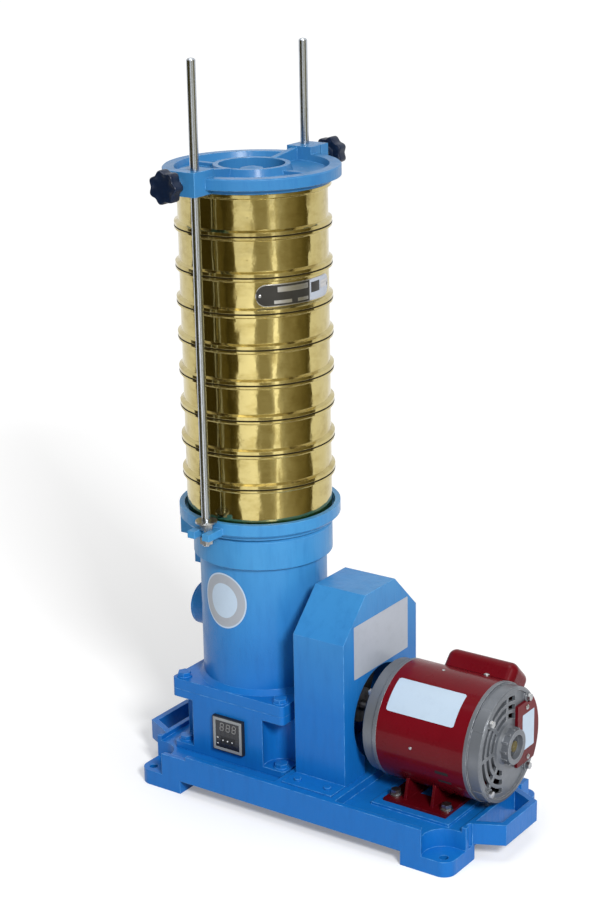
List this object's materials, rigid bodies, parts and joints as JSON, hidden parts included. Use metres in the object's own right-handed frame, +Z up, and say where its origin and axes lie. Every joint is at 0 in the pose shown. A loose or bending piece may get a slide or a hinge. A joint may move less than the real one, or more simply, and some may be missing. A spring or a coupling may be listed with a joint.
{
  "type": "sieve shaker",
  "caption": "Gyratory sieve shaker: a cast column with an eccentric table, a clamped stack of round sieves, and a belt-driven motor on one base.",
  "frame": {"origin": "on the floor, at the middle of the base's length and under the spindle's line, 15 mm behind the centre of the four foot holes", "axes": "+Z up along the column, +X along the base towards the motor, +Y to the back, away from the timer"},
  "size_m": [0.6, 0.3446, 1.041],
  "materials": {
    "blue_enamel_casting": "blue enamel over a rough casting",
    "blue_enamel_sheet": "blue enamel, satin",
    "polished_brass": "spun and polished",
    "chromed_rod": "bright plated",
    "zinc_fastener": "zinc plated",
    "machined_steel": "turned and ground",
    "bearing_steel": "ground",
    "cast_iron_pulley": "machined",
    "belt_rubber": "matt",
    "red_motor_paint": "gloss enamel",
    "bell_aluminium": "grey painted die casting",
    "laminated_core": "stacked sheet",
    "knob_plastic": "moulded",
    "timer_plastic": "fine textured",
    "key_plastic": "matt",
    "timer_lens": "smoked",
    "capacitor_can": "drawn"
  },
  "bodies": {
    "base": {"base_casting": "blue_enamel_casting", "lower_housing": "blue_enamel_casting", "column_casting": "blue_enamel_casting", "left_bearing_cap": "blue_enamel_casting", "anti_rotation_bracket": "blue_enamel_casting", "housing_bolts": "blue_enamel_sheet", "column_bolts": "blue_enamel_sheet", "belt_guard": "blue_enamel_sheet", "guard_screws": "zinc_fastener", "motor_bolts": "zinc_fastener", "motor_through_bolts": "zinc_fastener", "input_shaft_bearings": "bearing_steel", "spindle_bearings": "bearing_steel", "motor_bearings": "bearing_steel", "drive_belt": "belt_rubber", "motor_shell": "red_motor_paint", "motor_foot": "red_motor_paint", "capacitor_cover": "red_motor_paint", "terminal_cover": "red_motor_paint", "motor_outer_bell": "bell_aluminium", "motor_inner_bell": "bell_aluminium", "motor_stator": "laminated_core", "capacitor": "capacitor_can", "timer_bezel": "timer_plastic", "timer_case": "timer_plastic", "timer_window": "timer_lens"},
    "spindle": {"eccentric_spindle": "machined_steel", "bevel_gear": "machined_steel", "counterweight": "cast_iron_pulley"},
    "input": {"input_shaft": "machined_steel", "bevel_pinion": "machined_steel", "driven_pulley": "cast_iron_pulley"},
    "rotor": {"motor_shaft": "machined_steel", "motor_rotor": "laminated_core", "motor_pulley": "cast_iron_pulley"},
    "table": {"sieve_table": "blue_enamel_casting", "table_bearing": "bearing_steel", "front_rod": "chromed_rod", "back_rod": "chromed_rod", "rod_nuts": "zinc_fastener", "rod_washers": "zinc_fastener"},
    "receiver": {"receiver_pan": "polished_brass"},
    "sieve_1": {"sieve_1": "polished_brass"},
    "sieve_2": {"sieve_2": "polished_brass"},
    "sieve_3": {"sieve_3": "polished_brass"},
    "sieve_4": {"sieve_4": "polished_brass"},
    "sieve_5": {"sieve_5": "polished_brass"},
    "sieve_6": {"sieve_6": "polished_brass"},
    "sieve_7": {"sieve_7": "polished_brass"},
    "sieve_8": {"sieve_8": "polished_brass"},
    "lid": {"lid": "blue_enamel_sheet"},
    "clamp": {"clamp_ring": "blue_enamel_casting", "clamp_nuts": "zinc_fastener"},
    "front_knob": {"front_clamp_knob": "knob_plastic"},
    "back_knob": {"back_clamp_knob": "knob_plastic"},
    "key_1": {"timer_key_1": "key_plastic"},
    "key_2": {"timer_key_2": "key_plastic"},
    "key_3": {"timer_key_3": "key_plastic"}
  },
  "joints": [
    {"name": "spindle_spin", "type": "hinge", "parent": "base", "child": "spindle", "pos_m": [-0.1285, 0, 0.3], "axis": [0, 0, 1], "continuous": true},
    {"name": "table_orbit", "type": "hinge", "parent": "spindle", "child": "table", "pos_m": [-0.1325, 0, 0.38], "axis": [0, 0, 1], "continuous": true},
    {"name": "input_shaft_spin", "type": "hinge", "parent": "base", "child": "input", "pos_m": [0, 0, 0.238], "axis": [1, 0, 0], "continuous": true},
    {"name": "motor_spin", "type": "hinge", "parent": "base", "child": "rotor", "pos_m": [0, 0, 0.141], "axis": [1, 0, 0], "continuous": true},
    {"name": "receiver_lift", "type": "slide", "parent": "table", "child": "receiver", "axis": [0, 0, 1], "range_m": [0, 0.008]},
    {"name": "sieve_1_lift", "type": "slide", "parent": "receiver", "child": "sieve_1", "axis": [0, 0, 1], "range_m": [0, 0.008]},
    {"name": "sieve_2_lift", "type": "slide", "parent": "sieve_1", "child": "sieve_2", "axis": [0, 0, 1], "range_m": [0, 0.008]},
    {"name": "sieve_3_lift", "type": "slide", "parent": "sieve_2", "child": "sieve_3", "axis": [0, 0, 1], "range_m": [0, 0.008]},
    {"name": "sieve_4_lift", "type": "slide", "parent": "sieve_3", "child": "sieve_4", "axis": [0, 0, 1], "range_m": [0, 0.008]},
    {"name": "sieve_5_lift", "type": "slide", "parent": "sieve_4", "child": "sieve_5", "axis": [0, 0, 1], "range_m": [0, 0.008]},
    {"name": "sieve_6_lift", "type": "slide", "parent": "sieve_5", "child": "sieve_6", "axis": [0, 0, 1], "range_m": [0, 0.008]},
    {"name": "sieve_7_lift", "type": "slide", "parent": "sieve_6", "child": "sieve_7", "axis": [0, 0, 1], "range_m": [0, 0.008]},
    {"name": "sieve_8_lift", "type": "slide", "parent": "sieve_7", "child": "sieve_8", "axis": [0, 0, 1], "range_m": [0, 0.008]},
    {"name": "lid_lift", "type": "slide", "parent": "sieve_8", "child": "lid", "axis": [0, 0, 1], "range_m": [0, 0.008]},
    {"name": "clamp_ring_slide", "type": "slide", "parent": "lid", "child": "clamp", "axis": [0, 0, 1], "range_m": [0, 0.055]},
    {"name": "front_knob_turn", "type": "hinge", "parent": "clamp", "child": "front_knob", "pos_m": [-0.1485, -0.15, 0.8815], "axis": [0, -1, 0], "range_deg": [0, 720]},
    {"name": "back_knob_turn", "type": "hinge", "parent": "clamp", "child": "back_knob", "pos_m": [-0.1165, 0.15, 0.8815], "axis": [0, 1, 0], "range_deg": [0, 720]},
    {"name": "timer_key_1_press", "type": "slide", "parent": "base", "child": "key_1", "axis": [0, 1, 0], "range_m": [0, 0.0005], "stiffness_N_per_m": 800},
    {"name": "timer_key_2_press", "type": "slide", "parent": "base", "child": "key_2", "axis": [0, 1, 0], "range_m": [0, 0.0005], "stiffness_N_per_m": 800},
    {"name": "timer_key_3_press", "type": "slide", "parent": "base", "child": "key_3", "axis": [0, 1, 0], "range_m": [0, 0.0005], "stiffness_N_per_m": 800}
  ],
  "couplings": [
    {"joint": "table_orbit", "follows": "spindle_spin", "ratio": -1},
    {"joint": "input_shaft_spin", "follows": "spindle_spin", "ratio": -2},
    {"joint": "motor_spin", "follows": "spindle_spin", "ratio": -4.96}
  ]
}
